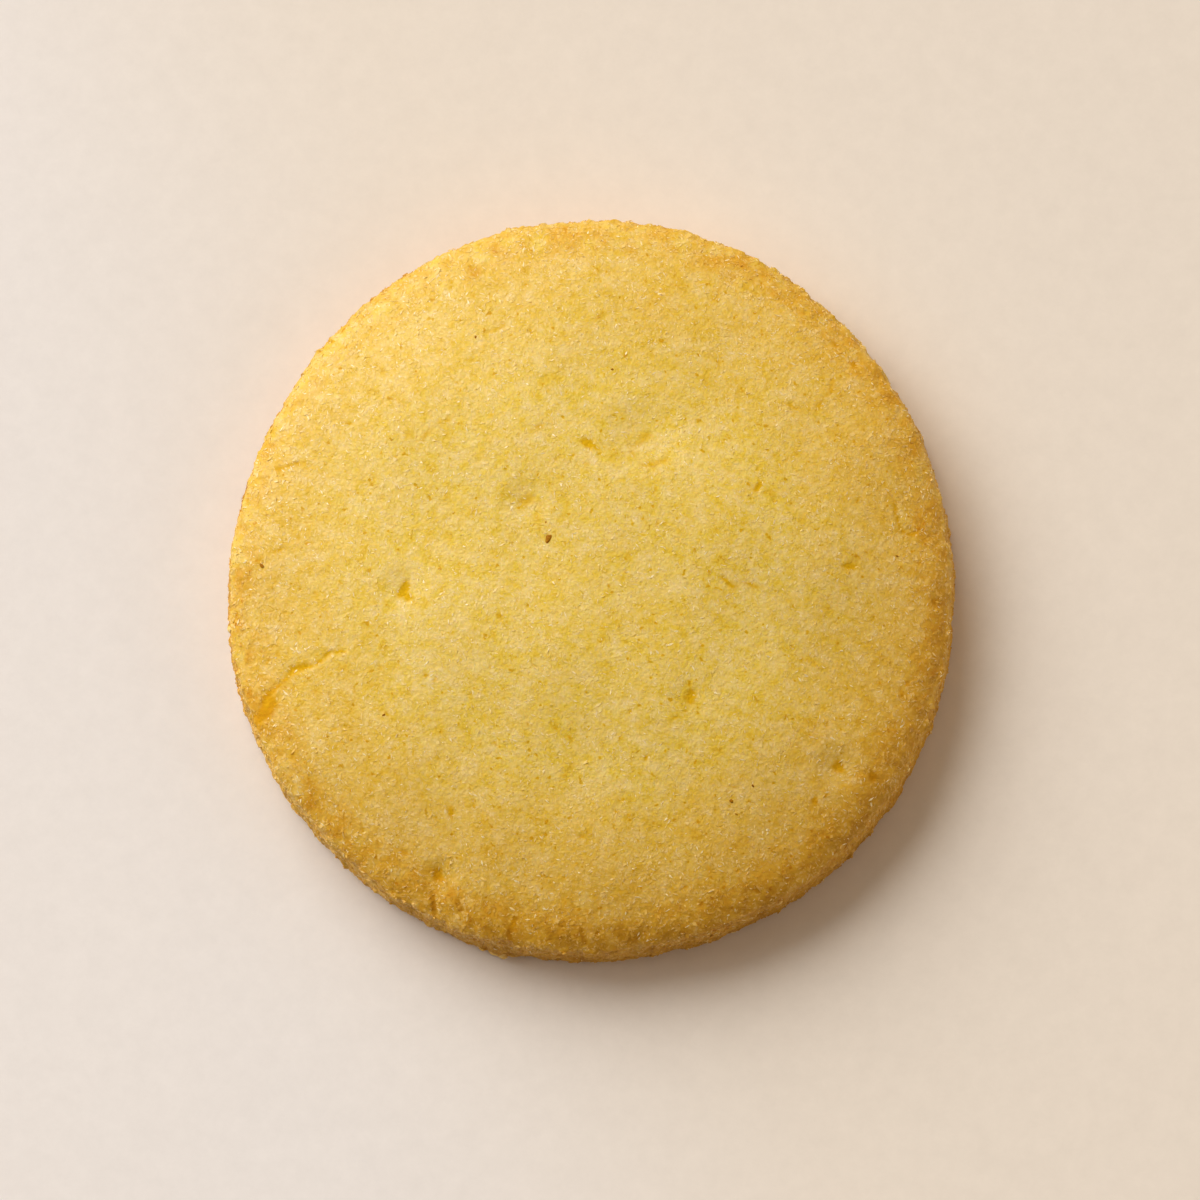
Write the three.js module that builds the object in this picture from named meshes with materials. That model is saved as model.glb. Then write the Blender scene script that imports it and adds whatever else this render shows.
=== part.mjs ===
// A round butter cookie with a low dome, in millimetres. It lies on its flat base with +Z up,
// +X to the right and +Y towards its far edge, and the origin is under its middle, on the base.
import * as THREE from "three";

// Driving dimensions of the whole cookie.
const WIDTH = 60; // across, along X
const LENGTH = 61.7; // across, along Y
const THICKNESS = 10.4; // from the base to the top of the dome

// The dome and the edge. The dough has slumped a little, so the foot is wider than the wall above it.
const DOME_DROP = 2.9; // how far the top falls from the middle to where the edge rounds over
const DOME_POWER = 2.6; // over 2, so that the middle is flatter than its surroundings
const EDGE_RUN = 4.1; // how far in from the wall the top starts to round over
const EDGE_LEAN = THREE.MathUtils.degToRad(62); // slope of the top at the crease where it meets the wall
const WALL_TOP = 5.5; // height of that crease
const FOOT_FLARE = 0.35; // how far the foot stands out past the top of the wall
const FOOT_ROUND = 0.7; // rounding under the foot

const MEAN_RADIUS = (WIDTH + LENGTH) / 4;
const WALL_RADIUS = MEAN_RADIUS - FOOT_FLARE;
const DOME_RADIUS = WALL_RADIUS - EDGE_RUN;

// The outline isn't a true circle. Each lobe is a wave round it: how many, how high and where one peaks.
const LOBES = [
  { count: 2, height: (LENGTH - WIDTH) / 4, peak: 86 },
  { count: 3, height: 0.14, peak: -35 },
  { count: 5, height: 0.05, peak: -31 },
  { count: 6, height: 0.045, peak: 11 },
  { count: 19, height: 0.04, peak: 5 },
  { count: 29, height: 0.03, peak: 2 },
];

// Long low waves of the top: the distance from crest to crest, the height and the way they run.
const SWELLS = [
  { pitch: 34, height: 0.16, heading: 25, shift: 0.8 },
  { pitch: 23, height: 0.12, heading: 118, shift: 2.1 },
  { pitch: 15, height: 0.08, heading: 70, shift: 4.4 },
  { pitch: 9, height: 0.05, heading: 160, shift: 1.3 },
];

// Round hollows in the top: the middle, how far they reach and how deep they are.
const HOLLOWS = [
  { x: 4.4, y: 11.8, reach: 4.2, depth: 0.3 },
  { x: -5.2, y: 6.4, reach: 2.8, depth: 0.18 },
  { x: -15.2, y: -1, reach: 2.4, depth: 0.25 },
  { x: 8.3, y: -9.8, reach: 2.2, depth: 0.2 },
  { x: 20.3, y: -15.4, reach: 2.4, depth: 0.25 },
  { x: -12.6, y: -25, reach: 2.2, depth: 0.25 },
];

// Shallow folds in the top, each from one end to the other.
const FOLDS = [
  { start: [-28.4, -12], end: [-24.6, -7.7], reach: 1.8, depth: 0.35 },
  { start: [-24.6, -7.7], end: [-20.4, -5.9], reach: 1.6, depth: 0.25 },
  { start: [-27.4, 1.9], end: [-24, 3.8], reach: 1.4, depth: 0.15 },
  { start: [-25.9, 9.6], end: [-19.8, 9.2], reach: 1.6, depth: 0.15 },
  { start: [10.9, 0], end: [14.2, -0.9], reach: 1.3, depth: 0.12 },
  { start: [24.9, 6.6], end: [26.8, 3.9], reach: 1.6, depth: 0.2 },
];

// Chips out of the rim: the angle, the half width round the rim and how far in they go.
const CHIPS = [
  { angle: 39.6, halfWidth: 2.2, depth: 0.3 },
  { angle: 201, halfWidth: 2, depth: 0.3 },
  { angle: 257, halfWidth: 1.8, depth: 0.2 },
];

// How finely the surface is divided.
const SEGMENTS = 132;
const DOME_RINGS = 22;
const EDGE_RINGS = 8;
const WALL_RINGS = 2;
const FOOT_RINGS = 2;

const crown = (share) => (1 - share ** 2) ** 2; // 1 in the middle of a feature and 0 at its end

// Height of the top at a distance from the middle, up to where the edge rounds over.
const domeHeight = (radius) =>
  THICKNESS - DOME_DROP * (radius / DOME_RADIUS) ** DOME_POWER;

// The rounded edge, from the crease at the top of the wall up to the dome. It leaves the crease
// at the edge's lean and runs into the dome in line with it.
function edgeCurve() {
  const crease = new THREE.Vector2(WALL_RADIUS, WALL_TOP);
  const domeEnd = new THREE.Vector2(DOME_RADIUS, domeHeight(DOME_RADIUS));
  const domeSlope = (DOME_POWER * DOME_DROP) / DOME_RADIUS;
  const leanSlope = Math.tan(EDGE_LEAN);
  const fall = domeEnd.y - crease.y;
  const back = (fall - domeSlope * EDGE_RUN) / (leanSlope - domeSlope);
  const corner = new THREE.Vector2(crease.x - back, crease.y + leanSlope * back);
  return new THREE.QuadraticBezierCurve(crease, corner, domeEnd);
}

// The underside of the foot, rounded from the base up into the wall.
function footCurve() {
  return new THREE.QuadraticBezierCurve(
    new THREE.Vector2(MEAN_RADIUS - FOOT_ROUND, 0),
    new THREE.Vector2(MEAN_RADIUS, 0),
    new THREE.Vector2(MEAN_RADIUS, FOOT_ROUND),
  );
}

// Half of the cookie's section, from the middle of the base round the foot to the top of the dome.
function section() {
  const foot = footCurve().getPoints(FOOT_RINGS);
  const wall = new THREE.LineCurve(foot.at(-1), new THREE.Vector2(WALL_RADIUS, WALL_TOP));
  const dome = Array.from({ length: DOME_RINGS }, (_, ring) => {
    const radius = DOME_RADIUS * (1 - (ring + 1) / DOME_RINGS);
    return new THREE.Vector2(radius, domeHeight(radius));
  });
  return [
    new THREE.Vector2(0, 0),
    ...foot,
    ...wall.getPoints(WALL_RINGS).slice(1),
    ...edgeCurve().getPoints(EDGE_RINGS).slice(1),
    ...dome,
  ];
}

// The outline's radius at an angle, as a share of the mean one.
function outline(angle) {
  const waves = LOBES.map(({ count, height, peak }) =>
    height * Math.cos(count * (angle - THREE.MathUtils.degToRad(peak))),
  );
  return 1 + waves.reduce((sum, wave) => sum + wave, 0) / MEAN_RADIUS;
}

// How far a chip takes the rim in at an angle.
function chipDepth({ angle, halfWidth, depth }, at) {
  const turn = at - THREE.MathUtils.degToRad(angle);
  const along = MEAN_RADIUS * Math.atan2(Math.sin(turn), Math.cos(turn));
  return Math.abs(along) < halfWidth ? depth * crown(along / halfWidth) : 0;
}

function swellHeight({ pitch, height, heading, shift }, point) {
  const way = THREE.MathUtils.degToRad(heading);
  const along = point.x * Math.cos(way) + point.y * Math.sin(way);
  return height * Math.sin((2 * Math.PI * along) / pitch + shift);
}

function hollowDepth({ x, y, reach, depth }, point) {
  const away = Math.hypot(point.x - x, point.y - y);
  return away < reach ? depth * crown(away / reach) : 0;
}

function foldDepth({ start, end, reach, depth }, point) {
  const from = new THREE.Vector3(...start, 0);
  const line = new THREE.Line3(from, new THREE.Vector3(...end, 0));
  const here = new THREE.Vector3(point.x, point.y, 0);
  const away = line.closestPointToPoint(here, true, new THREE.Vector3()).distanceTo(here);
  return away < reach ? depth * crown(away / reach) : 0;
}

const total = (features, size, ...where) =>
  features.reduce((sum, feature) => sum + size(feature, ...where), 0);

// Gives the turned shape its uneven outline, its chips and the relief of its top.
function makeUneven(geometry) {
  const places = geometry.getAttribute("position");
  const point = new THREE.Vector3();
  for (let i = 0; i < places.count; i++) {
    point.fromBufferAttribute(places, i);
    const radius = Math.hypot(point.x, point.y);
    const angle = Math.atan2(point.y, point.x);
    const above = THREE.MathUtils.smoothstep(point.z, 0, WALL_TOP);
    const outer = THREE.MathUtils.smoothstep(radius, DOME_RADIUS, MEAN_RADIUS);
    const chip = total(CHIPS, chipDepth, angle) * outer * above;
    const stretch = outline(angle) - chip / MEAN_RADIUS;
    point.x *= stretch;
    point.y *= stretch;
    const relief =
      total(SWELLS, swellHeight, point) -
      total(HOLLOWS, hollowDepth, point) -
      total(FOLDS, foldDepth, point);
    const level = THREE.MathUtils.smoothstep(point.z, WALL_TOP, domeHeight(DOME_RADIUS));
    point.z += level * relief;
    places.setXYZ(i, point.x, point.y, point.z);
  }
}

// Puts the middle of the cookie's box over the origin, with the base at height 0.
function centreOnBase(geometry) {
  geometry.computeBoundingBox();
  const middle = geometry.boundingBox.getCenter(new THREE.Vector3());
  geometry.translate(-middle.x, -middle.y, -geometry.boundingBox.min.z);
}

function cookieGeometry() {
  const geometry = new THREE.LatheGeometry(section(), SEGMENTS);
  geometry.rotateX(Math.PI / 2);
  makeUneven(geometry);
  centreOnBase(geometry);
  geometry.computeVertexNormals();
  return geometry;
}

const bakedDough = new THREE.MeshStandardMaterial({
  color: new THREE.Color("#dfbc62"),
  roughness: 0.85,
  metalness: 0,
});

const cookie = new THREE.Mesh(cookieGeometry(), bakedDough);
cookie.name = "cookie";

const part = new THREE.Group();
part.add(cookie);

export default part;
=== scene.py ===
"""A round salted butter cookie on pale paper, seen almost from above.

The baked body is one closed mesh. Rings of points run from the middle of the top, over the
edge, down the wall and in under the base, and are then pushed in and out to make swells,
crumb, pores, cracks and folds. Grains of crumb, sugar and salt are laid on it as meshes of
their own. Lengths are in millimetres up to the point where a mesh is made.
"""

import itertools
import math

import bmesh
import bpy
import numpy as np
from mathutils import Matrix, Vector


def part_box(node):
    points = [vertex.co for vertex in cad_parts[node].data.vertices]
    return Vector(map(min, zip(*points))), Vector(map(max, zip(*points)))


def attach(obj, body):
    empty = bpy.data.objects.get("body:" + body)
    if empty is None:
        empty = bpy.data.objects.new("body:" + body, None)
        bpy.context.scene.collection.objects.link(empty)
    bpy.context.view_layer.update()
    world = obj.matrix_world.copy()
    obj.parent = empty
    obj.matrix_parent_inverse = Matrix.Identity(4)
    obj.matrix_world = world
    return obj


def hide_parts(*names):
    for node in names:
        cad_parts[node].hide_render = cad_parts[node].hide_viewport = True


MM = 0.001
SEED = 11

# Shifts that keep the corners of the noises' cells off the middle of the cookie.
NOISE_SHIFT = 37.3
GRAIN_SHIFT = 19.7

# The section, as in the CAD part. The overall sizes come from the frame.
DOME_DROP = 2.9  # fall of the top from the middle to where the edge rounds over
DOME_POWER = 2.6
EDGE_RUN = 4.1  # how far in from the wall the top rounds over
EDGE_LEAN = math.radians(62)  # slope of the top where it meets the wall
WALL_TOP = 5.5
FOOT_FLARE = 0.35
FOOT_ROUND = 1.0  # a little softer than the CAD part's
LONG_WAY = math.radians(86)  # the cookie is a little longer this way than across it

# The outline's other waves: how many go round, how high they are and the angle of a crest.
LOBES = [
    (3, 0.14, -35),
    (5, 0.05, -31),
    (6, 0.045, 11),
    (19, 0.04, 5),
    (29, 0.03, 2),
]

SHADED_HOT_SIDE = math.radians(310)  # the side of the top that browned most, away from the light, and painted darker there as shade
SHADED_HOT_WALL = math.radians(290)  # the side of the wall that browned most, away from the light, and painted darker there as shade

# Distance between points of the body's mesh.
FINE_STEP = 0.215
BASE_STEP = 0.6
ALONG_RING = 1.12  # of a step, which keeps the triangles even
JITTER = 0.22  # share of a step that a point is moved at random, so that no rings show

# Long low waves of the top: crest to crest, height, heading and shift.
SWELLS = [
    (34, 0.16, 25, 0.8),
    (23, 0.12, 118, 2.1),
    (15, 0.08, 70, 4.4),
    (9, 0.03, 160, 1.3),
]

CREST = 0.22  # height of the swells over the plain dome at the highest point

# Shallow dips of the top: middle, reach and depth.
DIPS = [
    (4.4, 11.8, 4.2, 0.35),
    (-5.2, 6.4, 2.6, 0.18),
    (-15.3, -0.7, 2.4, 0.2),
    (8.3, -9.8, 2.2, 0.1),
    (20.3, -15.4, 2.4, 0.25),
    (-12.4, -24.4, 2.0, 0.25),
]

# Pits in the top: middle, half length, half width, heading of the length and depth.
PITS = [
    (-15.3, -0.7, 0.75, 0.5, 60, 0.55),
    (-14.9, -1.4, 0.5, 0.25, -50, 0.35),
    (-0.1, 11.3, 0.6, 0.42, 160, 0.5),
    (0.5, 10.8, 0.55, 0.22, -30, 0.4),
    (8.3, -9.8, 0.75, 0.45, 95, 0.5),
    (21.2, 1.1, 0.75, 0.4, 5, 0.4),
    (20.3, -15.4, 0.6, 0.45, 100, 0.55),
    (-7.4, -3.2, 0.42, 0.32, 120, 0.35),
    (-11.3, -19.2, 0.5, 0.4, 80, 0.3),
    (-4.1, 12.6, 0.5, 0.3, 20, 0.25),
    (13.7, 7.6, 0.7, 0.25, 45, 0.35),
    (-12.6, -24.2, 0.6, 0.45, 100, 0.5),
    (-5.2, 6.4, 0.9, 0.5, 30, 0.2),
    (-3.4, 3.3, 0.36, 0.27, 60, 0.5),
    (23.2, -16.1, 0.5, 0.3, 60, 0.5),
    (-26.6, -10.4, 1.7, 0.75, 60, 0.35),
    (-23.9, -6.9, 0.8, 0.22, 25, 0.4),
    (-21.6, -6.0, 0.4, 0.2, 20, 0.3),
]

PIT_REACH = 1.25  # how far out from its middle a pit starts, in half widths
PIT_SLOPE = 0.9  # of them, over which it gets to its full depth

# Fine cracks in the top: the line, half its width and its depth.
CRACKS = [
    ([(-15.1, -1.2), (-14.2, -2.1), (-13.9, -2.6)], 0.2, 0.16),
    ([(3.1, 10.9), (4.0, 11.2), (4.9, 11.9)], 0.24, 0.16),
    ([(3.3, 10.3), (4.2, 9.4), (5.2, 9.2), (6.2, 9.9)], 0.24, 0.28),
    ([(13.3, 7.2), (14.4, 8.1), (15.4, 9.3), (16.3, 10.1)], 0.18, 0.2),
    ([(-27.4, 1.9), (-25.4, 2.9), (-24.0, 3.8)], 0.24, 0.25),
    ([(-25.9, 9.6), (-23.9, 9.9), (-22.2, 9.8), (-21.1, 9.7), (-19.8, 9.0)], 0.26, 0.25),
    ([(-14.0, 11.3), (-12.9, 12.9), (-11.7, 13.3)], 0.2, 0.22),
    ([(-15.2, 11.4), (-15.0, 12.4)], 0.18, 0.15),
    ([(-8.6, 20.7), (-6.9, 21.3)], 0.2, 0.2),
    ([(-6.3, -27.8), (-6.6, -29.0), (-6.7, -30.6)], 0.28, 0.5),
    ([(-1.6, -26.6), (-0.9, -28.0), (-0.5, -29.6)], 0.22, 0.35),
    ([(10.7, 24.5), (10.0, 23.5)], 0.2, 0.2),
    ([(19.9, 17.0), (19.8, 15.8), (18.8, 14.4)], 0.24, 0.25),
    ([(10.9, 0.0), (11.7, -0.7), (13.0, -0.5), (14.2, -0.9)], 0.2, 0.32),
    ([(16.3, 14.7), (18.1, 14.1)], 0.18, 0.18),
    ([(-12.8, -24.6), (-13.0, -26.0), (-13.0, -27.4)], 0.26, 0.4),
    ([(22.6, -15.4), (23.6, -16.6), (24.2, -18.0)], 0.16, 0.14),
]

CRACK_REACH = 1.5  # how far out from its line a crack starts, in half widths

# Folds of the top, where one sheet of dough stops short of the next: the line, how far the
# low side reaches to the left of it, and its depth.
FOLDS = [
    ([(-28.2, -11.6), (-26.1, -9.0), (-24.6, -7.6), (-22.9, -6.9), (-20.4, -5.9)], 1.3, 0.16),
    ([(24.9, 6.6), (25.2, 5.2), (25.6, 4.4), (26.8, 3.9)], 1.0, 0.1),
]
FOLD_STEP = (-0.12, 0.08)  # across the line, over which the top steps down to the low side
FOLD_FOOT_LINE = 0.12  # how far the foot of the step is from the line
FOLD_FOOT_WIDTH = 0.3  # half of the width along it of the foot of the step, which gets painted shade

# Dark specks: middle and length.
SPECKS = [
    (-3.4, 3.3, 0.85),
    (-3.5, 4.6, 0.22),
    (-27.6, 1.5, 0.5),
    (-16.8, -11.1, 0.3),
    (13.3, -17.0, 0.32),
    (11.7, -18.3, 0.42),
    (11.9, -19.3, 0.24),
    (1.7, 17.4, 0.3),
    (-9.4, 20.5, 0.3),
    (25.5, 2.1, 0.3),
]
SPECK_HEIGHT = 9.0  # each is set at the point of the surface nearest to this height

# Chips out of the rim: the angle, half the width and how deep they go.
CHIPS = [
    (39.6, 1.5, 0.35),
    (201, 1.4, 0.3),
    (256.8, 0.8, 0.3),
    (268.5, 0.6, 0.2),
]

# Ledges of dough that stand out from the foot: the angle, half the width and how far.
LEDGES = [
    (256.2, 1.5, 0.45),
]
LEDGE_TOP = (1.5, 3.5)  # heights between which a ledge ends

# Crumbs that stand out from the rim: the angle, the height and the size.
RIM_CRUMBS = [
    (253.2, 0.8, 0.5),
    (254.6, 1.0, 0.6),
    (256.4, 0.9, 0.7),
    (257.9, 0.7, 0.5),
    (276.6, 0.6, 0.6),
    (301.0, 4.9, 0.4),
    (330.5, 5.0, 0.4),
    (13.2, 4.8, 0.45),
    (41.5, 5.0, 0.5),
    (69.2, 5.2, 0.5),
    (97.0, 5.2, 0.4),
    (187.0, 5.0, 0.5),
]

RANDOM_PORES = 170
RIM_PORES = 60  # larger ones between the lumps of the rim, most of them on the shaded hot side
PORE_SIZES = (0.07, 0.17)  # half widths
RIM_PORE_SIZES = (0.12, 0.26)
PORE_STRETCHES = (1, 1.9)  # of the length to the width
PORE_DEPTHS = (0.1, 0.35)

# Most of each pit's and crack's depth is left out of the mesh, and they show more by painted shade
# in their colour than by depth.
OPEN_SHARE = 0.15  # of a pit's or crack's depth
OPEN_FOLD = 0.4  # of a fold's depth
FOLD_FOOT_DEPTH = 0.04  # of the foot of a fold's step
FULL_SHADE_DEPTH = 0.3  # depth, before the share is taken, from which a pit or crack has its full painted shade

# Heights of the crumb's relief.
LUMP_HEIGHT = 0.0015
CRUMB_HEIGHT = 0.002
FINE_HEIGHT = 0.006
CRUMBLY_HEIGHT = 0.08  # of the lumps of the rim and the wall
WALL_INSET = 0.03  # how far the wall is drawn in, to leave room for its lumps

# How cracks and pits are bent out of true: how far, over what pitch and the seed.
WARPS = [
    (0.2, 1.1, 51),
    (0.12, 0.5, 61),
]

# Distances from the middle between which something sets in.
CRUST_SPAN = (16, 28)  # the golden crust
LIP_SPAN = (26, 30)  # the browner lip
ROUGH_SPAN = (25.5, 29)  # the crumbly edge
SUGARY_SPAN = (20, 29)  # more crumb and sugar
PROUD_SPAN = (24, 30)  # grains that stand out further
PORES_REACH = 28.5
RIM_PORES_SPAN = (25.5, 29)
RIM_PORES_TURN = math.radians(60)  # how widely they spread round from the shaded hot side

# The kinds of grain that lie all over the surface: how many, their size, their shape (long, wide
# and high), how far they tilt and the share of their height that stands out.
GRAINS = {
    "crumb_grains": (16000, 0.19, (1.5, 1, 0.4), 0.06, 0.08),
    "crumb_flakes": (16000, 0.1, (3.2, 1, 0.5), 0.1, 0.15),
    "sugar_and_salt": (16000, 0.08, (3.6, 1, 0.6), 0.12, 0.2),
}
RIM_PROUD = 0.1  # share of a grain that stands out at the rim, more than in the middle
SIZE_SPREAD = 0.28  # of the natural logarithm of a grain's size
STRETCH_SPREAD = 0.25  # how far each of a grain's three ways may differ from its shape
CORNER_SPREAD = 0.2  # how far a grain's corners are pushed in or out
LOWEST_GRAIN = 0.02  # above the base
GRAIN_SIDES = 4

BUMP_DEPTH = 0.06  # of the grain that is finer than the mesh

CAMERA_AIM = (0.65, -0.56, 1.06)  # the point in the middle of the picture
CAMERA_BACK = 900.0
CAMERA_ELEVATION = math.radians(82)
CAMERA_AZIMUTH = math.radians(8)
PICTURE_WIDTH = 99.4  # of the paper, at the cookie's middle height
SENSOR = 36.0

PAPER_REACH = 20000.0  # each way from the middle
PAPER_GAP = 0.05  # between the paper and the base

LIGHT_AZIMUTH = math.radians(130)
LIGHT_ELEVATION = math.radians(36.5)
LIGHT_SPREAD = math.radians(52)  # how wide the light looks from the cookie
LIGHT_STRENGTH = 3.45  # of all the light from that side, in watts to the square metre
NEAR_SHARE = 0.25  # of it that comes from a lamp near by, so that it falls off over the paper
NEAR_AZIMUTH = math.radians(158)
NEAR_BACK = 400.0
FILL_AZIMUTH = math.radians(345)
FILL_ELEVATION = math.radians(15)
FILL_STRENGTH = 0.45
WINDOW_COLOUR = (1.0, 0.98, 0.945)
LAMP_COLOUR = (0.97, 1.0, 1.04)
FILL_COLOUR = (1.0, 0.85, 0.68)
ROOM_COLOUR = (0.285, 0.232, 0.179, 1.0)
ROOM_LEAN = 0.6  # share by which the room is brighter on the far side and darker on the near
HORIZON_BAND = 0.05  # sine of the elevation up to which the band at the horizon reaches


# ---------------------------------------------------------------- noise


def hashed(cells, seed):
    """A number from 0 to 1 for each whole-number cell, the same on every run."""
    mask = np.uint64(0xFFFFFFFF)
    mixed = np.full(cells.shape[:-1], seed * 2654435761 % 2**32, np.uint64)
    for axis, prime in enumerate((73856093, 19349663, 83492791)):
        mixed ^= (cells[..., axis].astype(np.uint64) * np.uint64(prime)) & mask
        mixed = (mixed ^ (mixed >> np.uint64(15))) * np.uint64(2246822519) & mask
    mixed = (mixed ^ (mixed >> np.uint64(13))) * np.uint64(3266489917) & mask
    return (mixed ^ (mixed >> np.uint64(16))).astype(float) / 2**32


def smooth_noise(points, pitch, seed):
    """Soft bumps from -1 to 1, about one pitch apart."""
    scaled = points / pitch + NOISE_SHIFT
    cell = np.floor(scaled).astype(np.int64)
    part = scaled - cell
    ease = part**3 * (part * (part * 6 - 15) + 10)
    total = np.zeros(len(points))
    for corner in itertools.product((0, 1), repeat=3):
        share = np.prod(np.where(corner, ease, 1 - ease), axis=1)
        total += share * hashed(cell + corner, seed)
    return 2 * total - 1


def grain_noise(points, pitch, seed):
    """Scattered grains, one to a cell: the distance to the nearest middle and to the second,
    in pitches, and a number from 0 to 1 that is the nearest grain's own."""
    scaled = points / pitch + GRAIN_SHIFT
    cell = np.floor(scaled).astype(np.int64)
    nearest = np.full(len(points), 9.0)
    second = np.full(len(points), 9.0)
    own = np.zeros(len(points))
    for step in itertools.product((-1, 0, 1), repeat=3):
        there = cell + step
        middle = there + np.stack([hashed(there, seed + k) for k in range(3)], axis=1)
        away = np.linalg.norm(middle - scaled, axis=1)
        closer = away < nearest
        second = np.where(closer, nearest, np.minimum(second, away))
        own = np.where(closer, hashed(there, seed + 3), own)
        nearest = np.where(closer, away, nearest)
    return nearest, second, own


def ease_between(values, low, high):
    """0 below low, 1 above high and smooth in between."""
    share = np.clip((values - low) / (high - low), 0, 1)
    return share * share * (3 - 2 * share)


# ---------------------------------------------------------------- the plain shape


def edge_curve(mean_radius, thickness, steps):
    """The rounded edge, from the dome out to the top of the wall: radii and heights."""
    wall_radius = mean_radius - FOOT_FLARE
    start = np.array([wall_radius - EDGE_RUN, thickness - DOME_DROP])
    end = np.array([wall_radius, WALL_TOP])
    slope = DOME_POWER * DOME_DROP / start[0]
    lean = math.tan(EDGE_LEAN)
    radius = (end[1] - start[1] + lean * end[0] - slope * start[0]) / (lean - slope)
    corner = np.array([radius, start[1] - slope * (radius - start[0])])
    share = np.linspace(0, 1, steps)[:, None]
    return (1 - share) ** 2 * start + 2 * share * (1 - share) * corner + share**2 * end


def section(mean_radius, thickness):
    """Half of the section as close radii and heights, from the crown to the base's middle."""
    edge = edge_curve(mean_radius, thickness, steps=60)
    radii = np.linspace(0, edge[0, 0], 120)[:-1]
    heights = thickness - DOME_DROP * (radii / edge[0, 0]) ** DOME_POWER
    turn = np.linspace(0, math.pi / 2, 12)
    foot_radii = mean_radius - FOOT_ROUND * (1 - np.cos(turn))
    foot_heights = FOOT_ROUND * (1 - np.sin(turn))
    dome = np.stack([radii, heights], axis=1)
    foot = np.stack([foot_radii, foot_heights], axis=1)
    return np.concatenate([dome, edge, foot, [[0, 0]]])


def ring_places(mean_radius, thickness):
    """Each ring's radius, height, place along the section and distance between its points."""
    line = section(mean_radius, thickness)
    run = np.concatenate([[0], np.cumsum(np.linalg.norm(np.diff(line, axis=0), axis=1))])
    base_start = run[-2]
    fine = np.linspace(0, base_start, int(base_start / FINE_STEP) + 1)[1:]
    base = base_start + BASE_STEP * np.arange(1, int((run[-1] - base_start) / BASE_STEP))
    at = np.concatenate([fine, base])
    gaps = np.where(at <= base_start, FINE_STEP, BASE_STEP)
    return np.interp(at, run, line[:, 0]), np.interp(at, run, line[:, 1]), gaps


def stitch(first, second):
    """Triangles between two rings of point numbers, each spread evenly round the middle."""
    faces = []
    i = j = 0
    while i < len(first) or j < len(second):
        a = first[i % len(first)]
        b = second[j % len(second)]
        if (i + 1) * len(second) <= (j + 1) * len(first):
            i += 1
            faces.append((a, b, first[i % len(first)]))
        else:
            j += 1
            faces.append((a, b, second[j % len(second)]))
    return faces


def ring_mesh(mean_radius, thickness, rng):
    """Points and triangles of the plain round cookie."""
    points = [(0.0, 0.0, thickness)]
    rings = []
    for radius, height, gap in zip(*ring_places(mean_radius, thickness)):
        count = max(6, round(2 * math.pi * radius / (gap * ALONG_RING)))
        rings.append(range(len(points), len(points) + count))
        turns = (np.arange(count) + JITTER * rng.uniform(-1, 1, count)) * 2 * math.pi / count
        reach = radius + JITTER * gap * rng.uniform(-1, 1, count) * (height > FOOT_ROUND)
        points += zip(reach * np.cos(turns), reach * np.sin(turns), np.full(count, height))
    last = len(points)
    points.append((0.0, 0.0, 0.0))
    faces = [(0, a, b) for a, b in zip(rings[0], [*rings[0][1:], 1])]
    for first, second in itertools.pairwise(rings):
        faces += stitch(first, second)
    inner = rings[-1]
    faces += [(last, b, a) for a, b in zip(inner, [*inner[1:], inner[0]])]
    return np.array(points), np.array(faces)


def angle_of(points):
    return np.arctan2(points[:, 1], points[:, 0])


def outline_stretch(points, half_width, half_length):
    """Points moved out to the cookie's slightly long and lobed outline."""
    angle = angle_of(points)
    mean_radius = (half_width + half_length) / 2
    radius = mean_radius + (half_length - half_width) / 2 * np.cos(2 * (angle - LONG_WAY))
    for count, height, crest in LOBES:
        radius += height * np.cos(count * (angle - math.radians(crest)))
    stretched = points.copy()
    stretched[:, :2] *= (radius / mean_radius)[:, None]
    return stretched


def normals_of(points, faces):
    corners = points[faces]
    across = np.cross(corners[:, 1] - corners[:, 0], corners[:, 2] - corners[:, 0])
    summed = np.zeros_like(points)
    for k in range(3):
        np.add.at(summed, faces[:, k], across)
    return summed / np.linalg.norm(summed, axis=1)[:, None]


# ---------------------------------------------------------------- features of the top


def from_line(places, line):
    """How far places in the plane are from a line of straight stretches, and on which side:
    1 to the left of it and -1 to the right."""
    nearest = np.full(len(places), 1e9)
    side = np.ones(len(places))
    for start, end in itertools.pairwise(np.array(line, float)):
        way = end - start
        share = np.clip((places - start) @ way / (way @ way), 0, 1)
        off = places - (start + share[:, None] * way)
        away = np.hypot(off[:, 0], off[:, 1])
        left = np.sign(way[0] * (places[:, 1] - start[1]) - way[1] * (places[:, 0] - start[0]))
        side = np.where(away < nearest, left, side)
        nearest = np.minimum(nearest, away)
    return nearest, side


def swell_height(places):
    height = np.zeros(len(places))
    for pitch, size, heading, shift in SWELLS:
        way = np.array([math.cos(math.radians(heading)), math.sin(math.radians(heading))])
        height += size * np.sin(2 * math.pi * (places @ way) / pitch + shift)
    return height


def dip_depth(places):
    depth = np.zeros(len(places))
    for x, y, reach, size in DIPS:
        share = np.minimum(np.hypot(places[:, 0] - x, places[:, 1] - y) / reach, 1)
        depth += size * (1 - share**2) ** 2
    return depth


def pit_depth(places, pits):
    """Depth of oval pits, each flat in the middle and rounded over a little past its outline."""
    depth = np.zeros(len(places))
    for x, y, half_length, half_width, heading, size in pits:
        turn = math.radians(heading)
        off_x = places[:, 0] - x
        off_y = places[:, 1] - y
        along = (off_x * math.cos(turn) + off_y * math.sin(turn)) / half_length
        across = (off_y * math.cos(turn) - off_x * math.sin(turn)) / half_width
        away = np.hypot(along, across)
        depth = np.maximum(depth, size * ease_between(PIT_REACH - away, 0, PIT_SLOPE))
    return depth


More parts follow.
